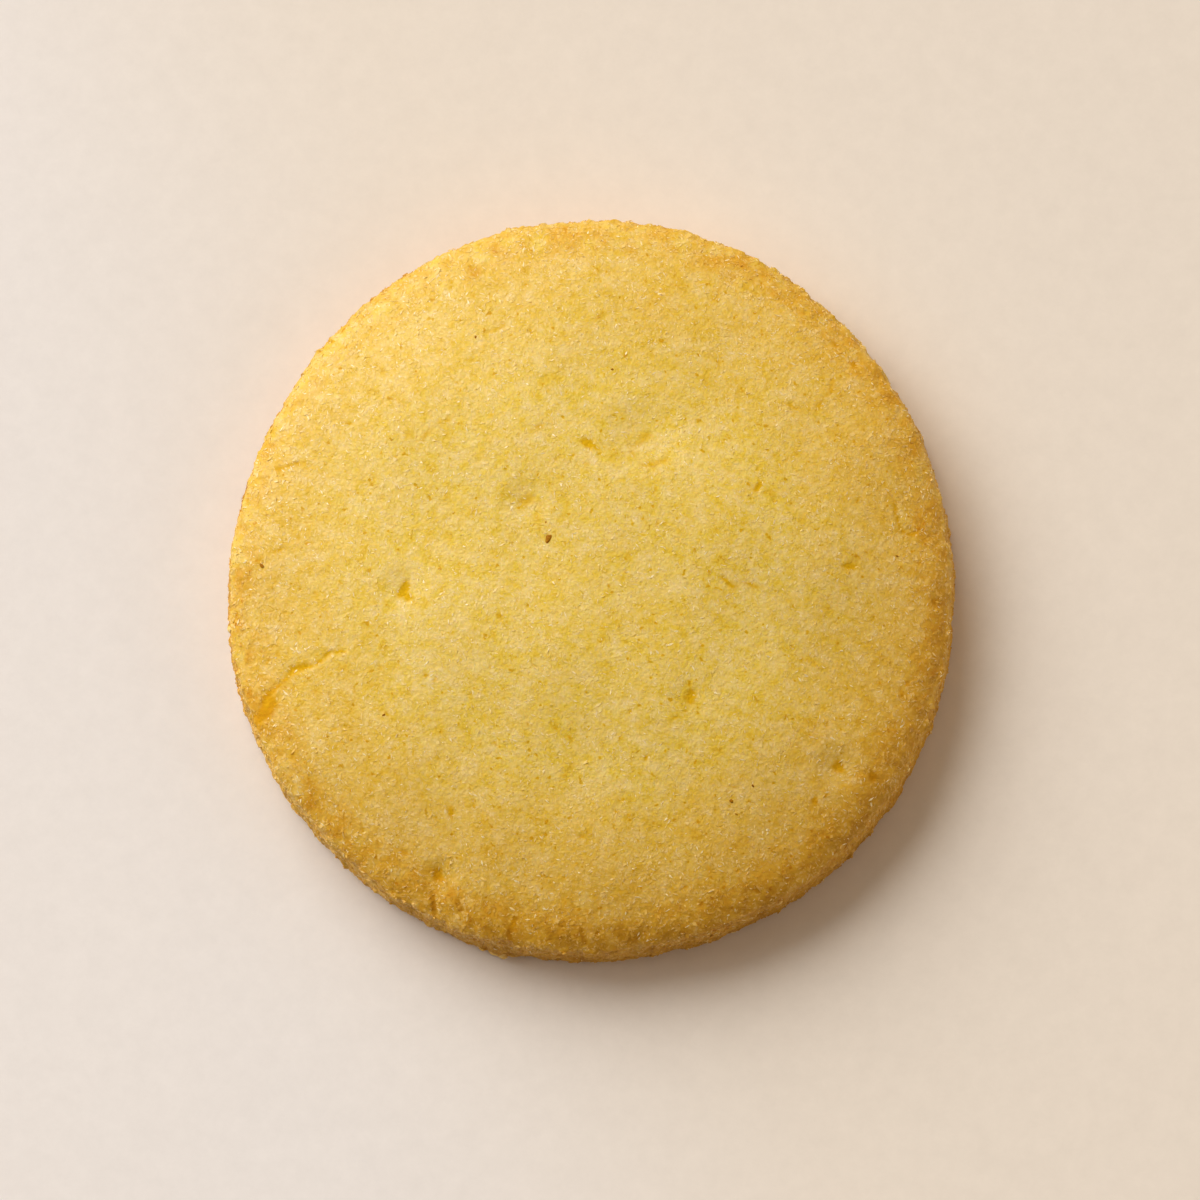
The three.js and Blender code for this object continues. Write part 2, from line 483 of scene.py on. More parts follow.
def crack_depth(places):
    depth = np.zeros(len(places))
    for line, half_width, size in CRACKS:
        away, _ = from_line(places, line)
        depth = np.maximum(depth, size * ease_between(1 - away / (CRACK_REACH * half_width), 0, 1))
    return depth


def fold_depth(places):
    depth = np.zeros(len(places))
    for line, reach, size in FOLDS:
        away, side = from_line(places, line)
        low_side = ease_between(side * away, *FOLD_STEP)
        depth = np.maximum(depth, size * low_side * ease_between(1 - away / reach, 0, 1))
    return depth


def fold_line(places):
    """1 on the foot of each fold's step and 0 away from it."""
    near = np.zeros(len(places))
    for line, _, _ in FOLDS:
        away, side = from_line(places, line)
        off_torn = np.abs(side * away - FOLD_FOOT_LINE)
        near = np.maximum(near, ease_between(1 - off_torn / FOLD_FOOT_WIDTH, 0, 1))
    return near


def far_round(points, angle):
    """How far points are from an angle, measured round the middle."""
    turn = angle_of(points) - math.radians(angle)
    reach = np.hypot(points[:, 0], points[:, 1])
    return np.abs(np.arctan2(np.sin(turn), np.cos(turn))) * reach


def chip_depth(points):
    depth = np.zeros(len(points))
    for angle, half_width, size in CHIPS:
        depth += size * ease_between(1 - far_round(points, angle) / half_width, 0, 1)
    return depth


def ledge_height(points):
    height = np.zeros(len(points))
    low = 1 - ease_between(points[:, 2], *LEDGE_TOP)
    for angle, half_width, size in LEDGES:
        height += size * low * ease_between(1 - far_round(points, angle) / half_width, 0, 1)
    return height


def random_pore(radius, angle, size, rng):
    """A pit at a distance from the middle and an angle, with a random heading and depth."""
    stretch = rng.uniform(*PORE_STRETCHES)
    place = (radius * math.cos(angle), radius * math.sin(angle))
    return (*place, size * stretch, size, rng.uniform(0, 180), rng.uniform(*PORE_DEPTHS))


def random_pores(rng):
    """Small pores scattered over the top, and larger ones round its rim."""
    pores = []
    for _ in range(RANDOM_PORES):
        radius = PORES_REACH * math.sqrt(rng.uniform(0, 1))
        angle = rng.uniform(0, 2 * math.pi)
        pores.append(random_pore(radius, angle, rng.uniform(*PORE_SIZES), rng))
    for _ in range(RIM_PORES):
        angle = rng.normal(SHADED_HOT_SIDE, RIM_PORES_TURN)
        radius = rng.uniform(*RIM_PORES_SPAN)
        pores.append(random_pore(radius, angle, rng.uniform(*RIM_PORE_SIZES), rng))
    return pores


# ---------------------------------------------------------------- the body


def top_features(points, rng):
    """The height of the swells at each point, how deep its pit, crack or fold is, and how near it
    is to the foot of a fold's step.
    """
    warp = sum(
        reach * np.stack([smooth_noise(points, pitch, seed + k) for k in (0, 1)], axis=1)
        for reach, pitch, seed in WARPS
    )
    places = points[:, :2] + warp
    swell = swell_height(points[:, :2]) - dip_depth(points[:, :2])
    pits = pit_depth(places, PITS + random_pores(rng))
    cracks = crack_depth(places) * ease_between(smooth_noise(points, 0.9, 71), -0.7, 0.3)
    folds = fold_depth(places)
    # The foot of each fold's step, broken up, which gets painted shade.
    fold_foot = fold_line(places) * ease_between(smooth_noise(points, 1.0, 72), -0.8, 0.0)
    return swell, pits, cracks, folds, fold_foot


def crumb_relief(points):
    """The height of the crumb's lumps and grains at each point, and how pale it is there."""
    lumps = smooth_noise(points, 2.6, 3) + 0.6 * smooth_noise(points, 1.4, 4)
    nearest, second, own = grain_noise(points, 0.85, 5)
    crumb = np.clip(second - nearest, 0, 0.5) * 2 - 0.5
    fine, _, fine_own = grain_noise(points, 0.46, 9)
    small = 0.5 - fine
    height = LUMP_HEIGHT * lumps + CRUMB_HEIGHT * crumb + FINE_HEIGHT * small
    tone = 0.5 * crumb + 0.9 * (own - 0.5) + 0.5 * small + 0.5 * (fine_own - 0.5) + 0.25 * lumps
    return height, tone


def shape_body(points, outward, rng):
    """Points with all relief, and how hollow, how pale and how browned and painted with shade the
    crumb is at each.
    """
    radius = np.hypot(points[:, 0], points[:, 1])
    upward = ease_between(outward[:, 2], 0.35, 0.7)
    swell, pits, cracks, folds, fold_foot = top_features(points, rng)
    height, tone = crumb_relief(points)
    top = swell - OPEN_SHARE * pits - OPEN_SHARE * cracks - OPEN_FOLD * folds - FOLD_FOOT_DEPTH * fold_foot
    relief = upward * top + height

    edge = ease_between(radius, *ROUGH_SPAN) * ease_between(outward[:, 2], -0.2, 0.2)
    wall = 1 - ease_between(np.abs(outward[:, 2]), 0.3, 0.75)
    rough = smooth_noise(points, 1.1, 21) + 0.8 * smooth_noise(points, 0.55, 22)
    crumbly = CRUMBLY_HEIGHT * rough + CRUMBLY_HEIGHT * smooth_noise(points, 0.42, 23)
    crumbly *= 1 - 0.6 * upward
    relief += edge * (crumbly - chip_depth(points) * (1 - upward))
    relief += wall * (crumbly - WALL_INSET + ledge_height(points) * (1 + 0.3 * rough))
    relief *= ease_between(points[:, 2], 0, 0.5)
    shaped = points + outward * relief[:, None]
    shaped[:, 2] = np.maximum(shaped[:, 2], 0)

    # Painted shade in pits, cracks and at the foot of each fold's step, in place of the depth the
    # mesh leaves out.
    shaded_hollow = upward * np.clip(pits / FULL_SHADE_DEPTH + cracks / FULL_SHADE_DEPTH + fold_foot, 0, 1)
    under = ease_between(-outward[:, 2], 0.5, 0.9)
    baked_and_shaded = browning_and_shade(points, outward, radius, under)
    return shaped, {"shaded_hollow": shaded_hollow, "tone": tone, "baked_and_shaded": baked_and_shaded}


def browning_and_shade(points, outward, radius, under):
    """How far the crust has browned, from 0 for pale crumb past 1 for golden crust to 2 for
    brown, with painted shade in it. It goes in patches over the rim and is more on the side away
    from the light: partly the side that lay in the hotter part of the oven, partly painted shade.
    The wall is golden. It is browner round the side away from the light and towards its foot
    there, partly painted shade as well, and it is painted darker low down on the lit side to dim
    the glow it throws on the paper. The base is brown."""
    patches = 0.6 * smooth_noise(points, 6.0, 31) + 0.5 * smooth_noise(points, 2.4, 32)
    spots = smooth_noise(points, 1.3, 33) + 0.7 * smooth_noise(points, 0.7, 34)
    # Painted shade as well as browning: the top is browner towards the side away from the light.
    away_from_light = np.cos(angle_of(points) - SHADED_HOT_SIDE)
    start, end = CRUST_SPAN
    rim = np.clip((radius + patches - start) / (end - start), 0, 1)
    lip = ease_between(radius, *LIP_SPAN)
    top = rim * (0.5 + 0.18 * away_from_light + 0.1 * patches)
    top += lip * (0.38 + 0.32 * away_from_light + 0.35 * spots) + 0.06 * (1 + spots)

    # Painted shade as well as browning: the wall is browner round the side away from the light.
    shaded_hot_wall = np.maximum(np.cos(angle_of(points) - SHADED_HOT_WALL), 0) ** 2
    foot = 1 - ease_between(points[:, 2], 0.5, 5.5)
    low = 1 - ease_between(points[:, 2], 3.5, 5.5)
    side = 0.6 + 0.7 * shaded_hot_wall + 0.2 * spots + 0.3 * (1 + away_from_light) * foot
    # Painted shade: low down on the lit side the wall is darkened, which dims the glow it throws
    # on the paper.
    side -= 2.0 * np.minimum(away_from_light + 0.2, 0) * low
    steep = 1 - ease_between(np.abs(outward[:, 2]), 0.4, 0.85)
    baked_and_shaded = np.where(under > 0.5, 1.35 + 0.5 * patches, top + steep * (side - top))
    return np.clip(baked_and_shaded, 0, 2)


def mesh_object(name, points, faces):
    mesh = bpy.data.meshes.new(name)
    mesh.from_pydata((points * MM).tolist(), [], faces.tolist())
    made = bpy.data.objects.new(name, mesh)
    bpy.context.scene.collection.objects.link(made)
    return made


def keep_on_points(piece, name, values):
    attribute = piece.data.attributes.new(name, "FLOAT", "POINT")
    attribute.data.foreach_set("value", np.asarray(values, np.float32))


def make_body(low, high, rng):
    """The body as one closed mesh that fills the frame's box, with what its look depends on."""
    half_width = (high.x - low.x) / 2 / MM
    half_length = (high.y - low.y) / 2 / MM
    thickness = (high.z - low.z) / MM - CREST
    points, faces = ring_mesh((half_width + half_length) / 2, thickness, rng)
    points = outline_stretch(points, half_width, half_length)
    shaped, qualities = shape_body(points, normals_of(points, faces), rng)
    body = mesh_object("baked_body", shaped, faces)
    body.data.shade_smooth()
    for name, values in qualities.items():
        keep_on_points(body, name, values)
    return body, shaped, faces, qualities


# ---------------------------------------------------------------- grains


def prism_grain(sides):
    """Corners and triangles of an upright prism, one across and one high."""
    turns = 2 * math.pi * np.arange(sides) / sides
    ring = np.stack([np.cos(turns), np.sin(turns), np.ones(sides)], axis=1) / 2
    corners = np.concatenate([ring, ring * (1, 1, -1)])
    faces = [(0, k, k + 1) for k in range(1, sides - 1)]
    faces += [(sides, sides + k + 1, sides + k) for k in range(1, sides - 1)]
    for k in range(sides):
        after = (k + 1) % sides
        faces += [(k, k + sides, after + sides), (k, after + sides, after)]
    return corners, np.array(faces)


def pebble_grain():
    """Corners and triangles of a ball one across."""
    ball = bmesh.new()
    bmesh.ops.create_icosphere(ball, subdivisions=2, radius=0.5)
    corners = np.array([corner.co[:] for corner in ball.verts])
    faces = np.array([[corner.index for corner in face.verts] for face in ball.faces])
    ball.free()
    return corners, faces


def turns_on(outward, tilt, rng):
    """Turns that lay a grain's first way along the surface and its third way out of it, each
    then tilted at random. They are matrices whose columns are the grain's three ways."""
    up = outward + tilt * rng.normal(size=outward.shape)
    up /= np.linalg.norm(up, axis=1)[:, None]
    along = np.cross(up, rng.normal(size=up.shape))
    along /= np.linalg.norm(along, axis=1)[:, None]
    return np.stack([along, np.cross(up, along), up], axis=2)


def spots_on(points, faces, weights, count, rng):
    """Random spots on a surface, more of them where the weights are higher, with the normal and
    the number of the triangle that each is on."""
    corners = points[faces]
    across = np.cross(corners[:, 1] - corners[:, 0], corners[:, 2] - corners[:, 0])
    area = np.linalg.norm(across, axis=1)
    chance = area * weights[faces].mean(axis=1)
    chosen = rng.choice(len(faces), count, p=chance / chance.sum())
    shares = rng.dirichlet((1, 1, 1), count)
    spots = (corners[chosen] * shares[:, :, None]).sum(axis=1)
    return spots, across[chosen] / area[chosen][:, None], chosen


def joined_grains(name, grain, spots, outward, sizes, shape, tilt, proud, rng):
    """One mesh of a grain at every spot, stretched to the shape, turned at random on the
    surface and sunk in it until only the proud share of its height stands out."""
    corners, faces = grain
    count = len(spots)
    stretch = rng.uniform(1 - STRETCH_SPREAD, 1 + STRETCH_SPREAD, (count, 1, 3))
    stretch = stretch * np.array(shape) * sizes[:, None, None]
    pushed = CORNER_SPREAD * rng.uniform(-1, 1, (count, len(corners), 1))
    bent = corners[None] * (1 + pushed * (1, 1, 0))
    turned = np.einsum("nij,nkj->nki", turns_on(outward, tilt, rng), bent * stretch)
    middles = spots + outward * (stretch[:, 0, 2] * (proud - 0.5))[:, None]
    points = (turned + middles[:, None]).reshape(-1, 3)
    points[:, 2] = np.maximum(points[:, 2], LOWEST_GRAIN)
    shift = np.arange(count)[:, None, None] * len(corners)
    piece = mesh_object(name, points, (faces[None] + shift).reshape(-1, faces.shape[1]))
    keep_on_points(piece, "own", np.repeat(rng.uniform(0, 1, count), len(corners)))
    return piece


def nearest_spots(places, points, outward):
    """The points of a surface nearest to some places, the normals there and their numbers."""
    nearest = [np.argmin(np.linalg.norm(points - place, axis=1)) for place in places]
    return points[nearest], outward[nearest], nearest


def make_specks(surface, outward, rng):
    """Dark specks set in the top."""
    points, _, _ = surface
    places = np.array([(x, y, SPECK_HEIGHT) for x, y, _ in SPECKS])
    spots, normals, _ = nearest_spots(places, points, outward)
    lengths = np.array([length for _, _, length in SPECKS])
    specks = joined_grains(
        "dark_specks",
        pebble_grain(),
        spots,
        normals,
        lengths,
        shape=(1, 0.6, 0.4),
        tilt=0.05,
        proud=0.4,
        rng=rng,
    )
    specks.data.materials.append(speck_material())
    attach(specks, "root")


def make_rim_crumbs(surface, outward, rng):
    """Larger crumbs that stand out from the rim."""
    points, _, baked_and_shaded = surface
    angles = np.radians([angle for angle, _, _ in RIM_CRUMBS])
    heights = np.array([height for _, height, _ in RIM_CRUMBS])
    reach = np.hypot(points[:, 0], points[:, 1]).max()
    places = np.stack([reach * np.cos(angles), reach * np.sin(angles), heights], axis=1)
    spots, normals, nearest = nearest_spots(places, points, outward)
    sizes = np.array([size for _, _, size in RIM_CRUMBS])
    pebble = pebble_grain()
    crumbs = joined_grains(
        "rim_crumbs",
        pebble,
        spots,
        normals,
        sizes,
        shape=(1.6, 1, 0.7),
        tilt=0.3,
        proud=0.3,
        rng=rng,
    )
    keep_on_points(crumbs, "baked_and_shaded", np.repeat(0.5 * baked_and_shaded[nearest], len(pebble[0])))
    material = grain_material("rim_crumb", tone=0.55, spread=0.2, roughness=0.6, specular=0.3)
    crumbs.data.materials.append(material)
    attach(crumbs, "root")


def scatter(name, material, weights, surface, rng):
    """Grains of one kind over the body's surface, browned and painted with shade as the body is
    under each.
    """
    count, size, shape, tilt, proud = GRAINS[name]
    points, faces, baked_and_shaded = surface
    spots, outward, chosen = spots_on(points, faces, weights, count, rng)
    sizes = rng.lognormal(math.log(size), SIZE_SPREAD, count).clip(0.6 * size, 1.8 * size)
    proud = proud + RIM_PROUD * ease_between(np.hypot(spots[:, 0], spots[:, 1]), *PROUD_SPAN)
    grain = prism_grain(GRAIN_SIDES)
    piece = joined_grains(name, grain, spots, outward, sizes, shape, tilt, proud, rng)
    keep_on_points(piece, "baked_and_shaded", np.repeat(baked_and_shaded[faces[chosen]].mean(axis=1), len(grain[0])))
    piece.data.materials.append(material)
    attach(piece, "root")


def scatter_grains(surface, shaded_hollow, rng):
    """Crumb, flakes, sugar and salt in loose clusters, none of it in the pits and cracks."""
    points, _, _ = surface
    in_open = ease_between(points[:, 2], 0.1, 0.8) * (1 - shaded_hollow) ** 2
    towards_rim = ease_between(np.hypot(points[:, 0], points[:, 1]), *SUGARY_SPAN)
    patches = smooth_noise(points, 0.6, 81) + 0.7 * smooth_noise(points, 1.2, 82)
    clusters = ease_between(patches, -0.5, 0.7)
    crumb = grain_material("crumb_grain", tone=0.44, spread=0.12, roughness=0.45, specular=0.5)
    flake = grain_material("crumb_flake", tone=0.5, spread=0.15, roughness=0.4, specular=0.5)
    weights = in_open * (0.5 + 0.5 * clusters + 0.5 * towards_rim)
    scatter("crumb_grains", crumb, weights, surface, rng)
    scatter("crumb_flakes", flake, in_open * (0.5 + 0.5 * clusters), surface, rng)
    weights = in_open * (1 + towards_rim) * (0.5 + clusters)
    scatter("sugar_and_salt", sugar_material(), weights, surface, rng)


# ---------------------------------------------------------------- materials


def new_material(name):
    material = bpy.data.materials.new(name)
    material.use_nodes = True
    tree = material.node_tree
    return material, tree, tree.nodes["Principled BSDF"]


def srgb(red, green, blue):
    """A colour given as screen values from 0 to 255, as Blender's linear numbers."""
    parts = np.array([red, green, blue]) / 255
    linear = np.where(parts <= 0.04045, parts / 12.92, ((parts + 0.055) / 1.055) ** 2.4)
    return (*linear.tolist(), 1.0)


def attribute(tree, name):
    node = tree.nodes.new("ShaderNodeAttribute")
    node.attribute_name = name
    return node.outputs["Fac"]


def noise(tree, pitch, detail=2.0, seed=0.0, rough=0.5):
    """A noise texture from 0 to 1 whose largest bumps are about one pitch (in mm) apart. Each
    step of detail halves the pitch and multiplies the height by rough. It is turned off the
    axes, because the texture has faint straight bands along them."""
    place = tree.nodes.new("ShaderNodeTexCoord").outputs["Object"]
    node = tree.nodes.new("ShaderNodeTexNoise")
    node.inputs["Scale"].default_value = 1 / (pitch * MM)
    node.inputs["Detail"].default_value = detail
    node.inputs["Roughness"].default_value = rough
    turned = tree.nodes.new("ShaderNodeMapping")
    turned.inputs["Location"].default_value = (seed * 1.7, seed, 0)
    turned.inputs["Rotation"].default_value = (0.6, 0.5, 0.4)
    tree.links.new(place, turned.inputs["Vector"])
    tree.links.new(turned.outputs["Vector"], node.inputs["Vector"])
    return node.outputs["Fac"]


def plug(tree, value, socket):
    if isinstance(value, (int, float)):
        socket.default_value = value
    else:
        tree.links.new(value, socket)


def maths(tree, operation, first, second=0.0, third=0.0):
    node = tree.nodes.new("ShaderNodeMath")
    node.operation = operation
    for value, socket in zip((first, second, third), node.inputs):
        plug(tree, value, socket)
    return node.outputs[0]


def ramp(tree, value, stops):
    """A colour for a value, blended between stops of (value, colour)."""
    node = tree.nodes.new("ShaderNodeValToRGB")
    for place, _ in stops[len(node.color_ramp.elements) :]:
        node.color_ramp.elements.new(place)
    for element, (place, colour) in zip(node.color_ramp.elements, stops):
        element.position = place
        element.color = colour
    tree.links.new(value, node.inputs["Fac"])
    return node.outputs["Color"]


def mixed(tree, share, first, second, blend="MIX"):
    node = tree.nodes.new("ShaderNodeMix")
    node.data_type = "RGBA"
    node.blend_type = blend
    plug(tree, share, node.inputs["Factor"])
    tree.links.new(first, node.inputs["A"])
    tree.links.new(second, node.inputs["B"])
    return node.outputs["Result"]


def vector_maths(tree, operation, *values):
    node = tree.nodes.new("ShaderNodeVectorMath")
    node.operation = operation
    for value, socket in zip(values, node.inputs):
        if isinstance(value, tuple):
            socket.default_value = value
        else:
            tree.links.new(value, socket)
    return node.outputs["Value" if operation == "DOT_PRODUCT" else "Vector"]


def granules(tree, pitch):
    """How far a point is from the middle of its cell, in pitches, where the cells are uneven
    and about one pitch (in mm) across."""
    place = tree.nodes.new("ShaderNodeTexCoord").outputs["Object"]
    shift = tree.nodes.new("ShaderNodeTexNoise")
    shift.inputs["Scale"].default_value = 2 / (pitch * MM)
    tree.links.new(place, shift.inputs["Vector"])
    reach = (0.8 * pitch * MM,) * 3
    moved = vector_maths(tree, "MULTIPLY_ADD", shift.outputs["Color"], reach, place)
    node = tree.nodes.new("ShaderNodeTexVoronoi")
    node.inputs["Scale"].default_value = 1 / (pitch * MM)
    tree.links.new(moved, node.inputs["Vector"])
    return node.outputs["Distance"]


def smooth_step(tree, value, low, high):
    node = tree.nodes.new("ShaderNodeMapRange")
    node.interpolation_type = "SMOOTHSTEP"
    node.inputs["From Min"].default_value = low
    node.inputs["From Max"].default_value = high
    tree.links.new(value, node.inputs["Value"])
    return node.outputs["Result"]


def curls(tree, pitch, width, seed, detail=0.0):
    """1 on thin short curved lines and 0 off them: the level lines of one noise, broken up by
    another."""
    level = maths(tree, "SUBTRACT", noise(tree, pitch, detail, seed), 0.5)
    off_line = maths(tree, "ABSOLUTE", level)
    line = smooth_step(tree, off_line, width, 0.0)
    shown = smooth_step(tree, noise(tree, 1.3 * pitch, 0.0, seed + 1), 0.4, 0.55)
    return maths(tree, "MULTIPLY", line, shown)


def hairlines(tree):
    """Up to 1 on short broken cracks as thin as a hair, in a few places, and 0 off them."""
    few = smooth_step(tree, noise(tree, 3.5, 1.0, 52.0), 0.46, 0.66)
    broken = smooth_step(tree, noise(tree, 0.7, 1.0, 54.0), 0.5, 0.62)
    lines = curls(tree, 2.0, 0.02, 50.0, 2.0)
    return maths(tree, "MULTIPLY", lines, maths(tree, "MULTIPLY", few, broken))


def crumb_colours(tree, tone):
    """The pale crumb, from ochre in its hollows to cream on its lumps."""
    return ramp(
        tree,
        tone,
        [
            (0.0, srgb(214, 164, 0)),
            (0.25, srgb(232, 198, 64)),
            (0.5, srgb(237, 208, 114)),
            (1.0, srgb(247, 223, 168)),
        ],
    )


def crust_colours(tree, tone):
    """The browned crust, from brown in its hollows to gold on its lumps."""
    return ramp(
        tree,
        tone,
        [
            (0.0, srgb(208, 140, 14)),
            (0.5, srgb(226, 174, 51)),
            (1.0, srgb(244, 210, 130)),
        ],
    )


def brown_colours(tree, tone):
    """The brown of the foot and the underside."""
    return ramp(tree, tone, [(0.0, srgb(160, 102, 0)), (1.0, srgb(220, 164, 28))])


def clamped(tree, value, low, high):
    node = tree.nodes.new("ShaderNodeClamp")
    plug(tree, value, node.inputs["Value"])
    node.inputs["Min"].default_value = low
    node.inputs["Max"].default_value = high
    return node.outputs[0]


def dough_colours(tree, tone):
    """The dough at a tone, from crumb past crust to brown by how far it has browned and been
    painted with shade. The tone wanders over it in soft patches and falls in the hollows between
    granules."""
    mottle = maths(tree, "SUBTRACT", noise(tree, 1.1, 2.0, 4.0, 0.7), 0.5)
    broad = maths(tree, "SUBTRACT", noise(tree, 4.0, 2.0, 14.0), 0.5)
    gaps = smooth_step(tree, noise(tree, 0.55, 1.0, 24.0), 0.34, 0.2)
    for share, source in ((1.0, mottle), (0.3, broad), (-0.5, gaps)):
        tone = maths(tree, "MULTIPLY_ADD", source, share, tone)
    baked_and_shaded = attribute(tree, "baked_and_shaded")
    golden = clamped(tree, baked_and_shaded, 0, 1)
    brown = maths(tree, "SUBTRACT", baked_and_shaded, golden)
    colour = mixed(tree, golden, crumb_colours(tree, tone), crust_colours(tree, tone))
    return mixed(tree, brown, colour, brown_colours(tree, tone))


def hollow_shade_colours(tree):
    """Painted shade at the bottom of pits and cracks, from amber in pale crumb to brown."""
    return ramp(
        tree,
        maths(tree, "MULTIPLY", attribute(tree, "baked_and_shaded"), 0.5),
        [
            (0.1, srgb(220, 172, 0)),
            (0.4, srgb(215, 153, 0)),
            (0.7, srgb(182, 122, 0)),
        ],
    )


def dough_tone(tree, strokes):
    """How pale the dough is at each point, from the body's own tone and finer grain."""
    tone = maths(tree, "MULTIPLY_ADD", attribute(tree, "tone"), 0.05, 0.47)
    tone = maths(tree, "MULTIPLY_ADD", strokes, 0.2, tone)
    return maths(tree, "MULTIPLY_ADD", granules(tree, 0.42), -0.12, tone)


def hollow_shade_share(tree, lines):
    """How much painted shade of the hollows shows: 1 at the bottom of pits, less in hairlines,
    else 0.
    """
    share = maths(tree, "MULTIPLY_ADD", noise(tree, 0.5, 2.0, 7.0), 0.8, 0.75)
    share = maths(tree, "MULTIPLY", attribute(tree, "shaded_hollow"), share)
    share = maths(tree, "MULTIPLY_ADD", lines, 0.5, share)
    share.node.use_clamp = True
    return share


def dough_bump(tree, strokes, lines):
    """Normals bent by grain that is too fine for the mesh."""
    fine = noise(tree, 0.24, 1.0, 2.0)
    height = maths(tree, "MULTIPLY_ADD", noise(tree, 0.6, 0.0, 12.0), 0.8, fine)
    height = maths(tree, "MULTIPLY_ADD", strokes, 0.3, height)
    height = maths(tree, "MULTIPLY_ADD", lines, -0.5, height)
    bump = tree.nodes.new("ShaderNodeBump")
    bump.inputs["Strength"].default_value = 1.0
    bump.inputs["Distance"].default_value = BUMP_DEPTH * MM
    tree.links.new(height, bump.inputs["Height"])
    return bump.outputs["Normal"]


def dough_material():
    material, tree, shader = new_material("baked_dough")
    strokes = curls(tree, 0.34, 0.025, 30.0)
    lines = hairlines(tree)
    colour = dough_colours(tree, dough_tone(tree, strokes))
    colour = mixed(tree, hollow_shade_share(tree, lines), colour, hollow_shade_colours(tree))
    tree.links.new(colour, shader.inputs["Base Color"])
    rough = maths(tree, "MULTIPLY_ADD", noise(tree, 0.4, 2.0, 9.0), 0.3, 0.3)
    rough = maths(tree, "MULTIPLY_ADD", attribute(tree, "shaded_hollow"), 0.4, rough)
    tree.links.new(rough, shader.inputs["Roughness"])
    shader.inputs["Specular IOR Level"].default_value = 0.22
    shader.inputs["Subsurface Weight"].default_value = 0.15
    shader.inputs["Subsurface Radius"].default_value = (1.0, 0.55, 0.2)
    shader.inputs["Subsurface Scale"].default_value = 0.5 * MM
    tree.links.new(dough_bump(tree, strokes, lines), shader.inputs["Normal"])
    return material


def grain_material(name, tone, spread, roughness, specular):
    """The dough's colours with their painted shade, each grain with a tone of its own."""
    material, tree, shader = new_material(name)
    own = maths(tree, "MULTIPLY_ADD", attribute(tree, "own"), spread, tone)
    own = maths(tree, "MULTIPLY_ADD", attribute(tree, "baked_and_shaded"), 0.08, own)
    tree.links.new(dough_colours(tree, own), shader.inputs["Base Color"])
    rough = maths(tree, "MULTIPLY_ADD", noise(tree, 0.15, 2.0, 3.0), 0.25, roughness)
    tree.links.new(rough, shader.inputs["Roughness"])
    shader.inputs["Specular IOR Level"].default_value = specular
    return material


def sugar_material():
    """Sugar and salt: pale and a little glossy however far the dough under them has browned and
    been painted with shade.
    """
    material, tree, shader = new_material("sugar_and_salt")
    cloudy = maths(tree, "MULTIPLY_ADD", noise(tree, 0.3, 2.0, 6.0), 0.5, attribute(tree, "own"))
    stops = [(0.2, srgb(236, 208, 118)), (1.0, srgb(248, 230, 178))]
    fresh = ramp(tree, maths(tree, "MULTIPLY", cloudy, 0.8), stops)
    buttered = smooth_step(tree, attribute(tree, "own"), 0.95, 0.75)
    share = maths(tree, "MULTIPLY", buttered, 0.85)
    browned = mixed(tree, share, fresh, dough_colours(tree, cloudy))
    tree.links.new(browned, shader.inputs["Base Color"])
    shader.inputs["Roughness"].default_value = 0.3
    shader.inputs["Specular IOR Level"].default_value = 0.5
    return material


def speck_material():
    material, tree, shader = new_material("dark_speck")
    colour = ramp(tree, noise(tree, 0.2, 2.0), [(0.3, srgb(132, 76, 0)), (0.7, srgb(186, 126, 4))])
    tree.links.new(colour, shader.inputs["Base Color"])
    rough = maths(tree, "MULTIPLY_ADD", noise(tree, 0.1, 2.0, 5.0), 0.3, 0.5)
    tree.links.new(rough, shader.inputs["Roughness"])
    shader.inputs["Specular IOR Level"].default_value = 0.15
    return material


def paper_material():
    material, tree, shader = new_material("pale_paper")
    fibres = noise(tree, 2.0, 5.0, 3.0, 0.75)
    # Painted light: the paper is tinted cooler towards the left and warmer towards the right, for
    # the cool lamp on the left and the warm fill on the right.
    cool_lit_paper = ramp(tree, fibres, [(0.3, srgb(237, 232, 229)), (0.7, srgb(242, 237, 234))])
    warm_lit_paper = ramp(tree, fibres, [(0.3, srgb(236, 226, 214)), (0.7, srgb(241, 231, 219))])
    place = tree.nodes.new("ShaderNodeTexCoord").outputs["Object"]
    along = vector_maths(tree, "DOT_PRODUCT", place, (1.0, 0.4, 0.0))
    share = smooth_step(tree, along, -45 * MM, 5 * MM)
    colour = mixed(tree, share, cool_lit_paper, warm_lit_paper)
    tree.links.new(colour, shader.inputs["Base Color"])
    shader.inputs["Roughness"].default_value = 0.9
    shader.inputs["Specular IOR Level"].default_value = 0.1
    return material


# ---------------------------------------------------------------- surroundings


def make_paper():
    """Paper that runs on to the horizon, just clear of the base."""
    sides = [(-1, -1), (1, -1), (1, 1), (-1, 1)]
    corners = [(PAPER_REACH * x, PAPER_REACH * y, -PAPER_GAP) for x, y in sides]
    paper = mesh_object("paper", np.array(corners), np.array([(0, 1, 2, 3)]))
    paper.data.materials.append(paper_material())


def direction(azimuth, elevation):
    """A direction given by its angle round from +X and above the horizon."""
    flat = math.cos(elevation)
    return Vector((flat * math.cos(azimuth), flat * math.sin(azimuth), math.sin(elevation)))


def add_light(data, away, back, colour):
    """A light that shines back along the direction that leads away to it."""
    data.color = colour
    light = bpy.data.objects.new(data.name, data)
    light.location = away * back * MM
    light.rotation_mode = "QUATERNION"
    light.rotation_quaternion = away.to_track_quat("Z", "Y")
    light.visible_camera = False
    bpy.context.scene.collection.objects.link(light)


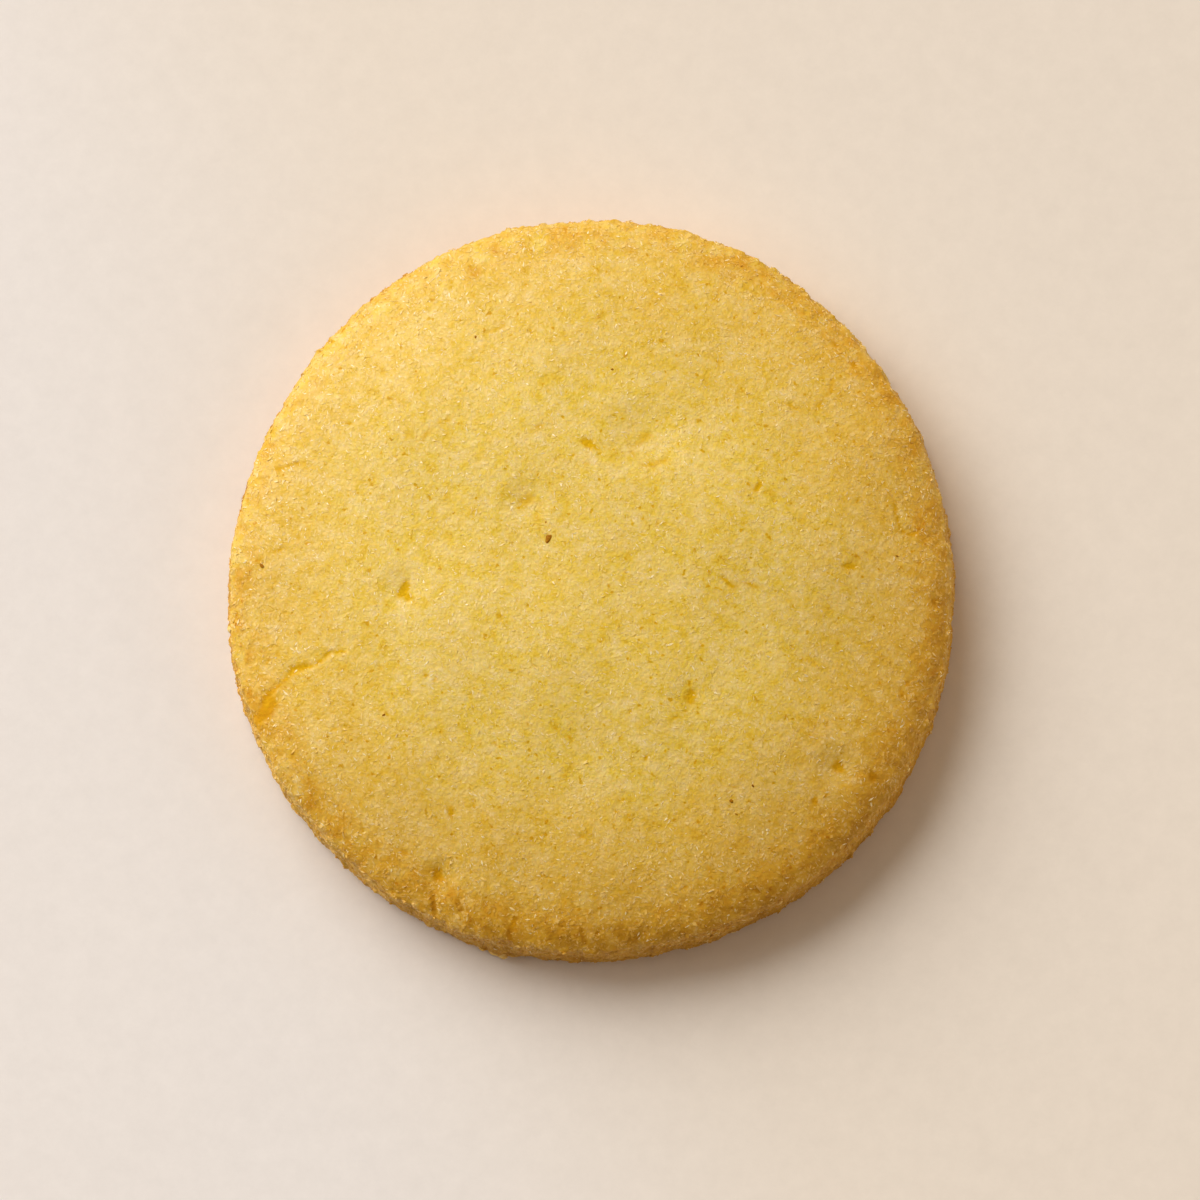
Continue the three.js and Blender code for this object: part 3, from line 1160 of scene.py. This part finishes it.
def make_lights():
    """A wide soft light from one side, most of it from far away and the rest from near by, and a
    weak low one from the other side."""
    far = bpy.data.lights.new("window", "SUN")
    far.angle = LIGHT_SPREAD
    far.energy = LIGHT_STRENGTH * (1 - NEAR_SHARE)
    add_light(far, direction(LIGHT_AZIMUTH, LIGHT_ELEVATION), NEAR_BACK, WINDOW_COLOUR)
    near = bpy.data.lights.new("lamp", "AREA")
    near.shape = "DISK"
    near.size = 2 * NEAR_BACK * MM * math.tan(LIGHT_SPREAD / 2)
    near.energy = LIGHT_STRENGTH * NEAR_SHARE * math.pi * (NEAR_BACK * MM) ** 2
    add_light(near, direction(NEAR_AZIMUTH, LIGHT_ELEVATION), NEAR_BACK, LAMP_COLOUR)
    fill = bpy.data.lights.new("fill", "SUN")
    fill.angle = LIGHT_SPREAD
    fill.energy = FILL_STRENGTH
    add_light(fill, direction(FILL_AZIMUTH, FILL_ELEVATION), NEAR_BACK, FILL_COLOUR)


def make_world():
    """Warm light from all round the room, most of it from the far side, and a pale band at the
    horizon."""
    world = bpy.data.worlds.new("room")
    bpy.context.scene.world = world
    world.use_nodes = True
    tree = world.node_tree
    way = tree.nodes.new("ShaderNodeTexCoord")
    parts = tree.nodes.new("ShaderNodeSeparateXYZ")
    tree.links.new(way.outputs["Generated"], parts.inputs[0])
    above = maths(tree, "ABSOLUTE", parts.outputs["Z"])
    height = maths(tree, "DIVIDE", above, HORIZON_BAND)
    band = ramp(tree, height, [(0.1, srgb(232, 216, 200)), (0.9, ROOM_COLOUR)])
    tree.links.new(band, tree.nodes["Background"].inputs["Color"])
    lean = maths(tree, "MULTIPLY", smooth_step(tree, height, 0.1, 0.9), parts.outputs["Y"])
    strength = maths(tree, "MULTIPLY_ADD", lean, ROOM_LEAN, 1.0)
    tree.links.new(strength, tree.nodes["Background"].inputs["Strength"])


def make_camera():
    data = bpy.data.cameras.new("camera")
    data.sensor_width = SENSOR
    data.lens = SENSOR * CAMERA_BACK / PICTURE_WIDTH
    data.clip_start = 0.01
    data.clip_end = 10
    camera = bpy.data.objects.new("camera", data)
    back = direction(CAMERA_AZIMUTH - math.pi / 2, CAMERA_ELEVATION)
    right = Vector((0, 1, 0)).cross(back).normalized()
    upright = back.cross(right)
    turn = Matrix((right, upright, back)).transposed().to_4x4()
    place = (Vector(CAMERA_AIM) + back * CAMERA_BACK) * MM
    camera.matrix_world = Matrix.Translation(place) @ turn
    bpy.context.scene.collection.objects.link(camera)
    bpy.context.scene.camera = camera


# ---------------------------------------------------------------- the scene

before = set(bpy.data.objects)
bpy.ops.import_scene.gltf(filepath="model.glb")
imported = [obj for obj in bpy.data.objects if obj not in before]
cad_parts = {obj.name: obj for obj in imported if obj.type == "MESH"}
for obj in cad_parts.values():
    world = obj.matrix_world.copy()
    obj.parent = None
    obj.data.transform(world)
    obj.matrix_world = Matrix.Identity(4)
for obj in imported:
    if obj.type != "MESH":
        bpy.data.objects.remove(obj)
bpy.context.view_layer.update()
low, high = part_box("cookie")
rng = np.random.default_rng(SEED)

body, points, faces, qualities = make_body(low, high, rng)
body.data.materials.append(dough_material())
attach(body, "root")
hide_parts("cookie")

surface = (points, faces, qualities["baked_and_shaded"])
outward = normals_of(points, faces)
make_specks(surface, outward, rng)
make_rim_crumbs(surface, outward, rng)
scatter_grains(surface, qualities["shaded_hollow"], rng)

make_paper()
make_lights()
make_world()
make_camera()
bpy.context.scene.view_settings.view_transform = "Standard"
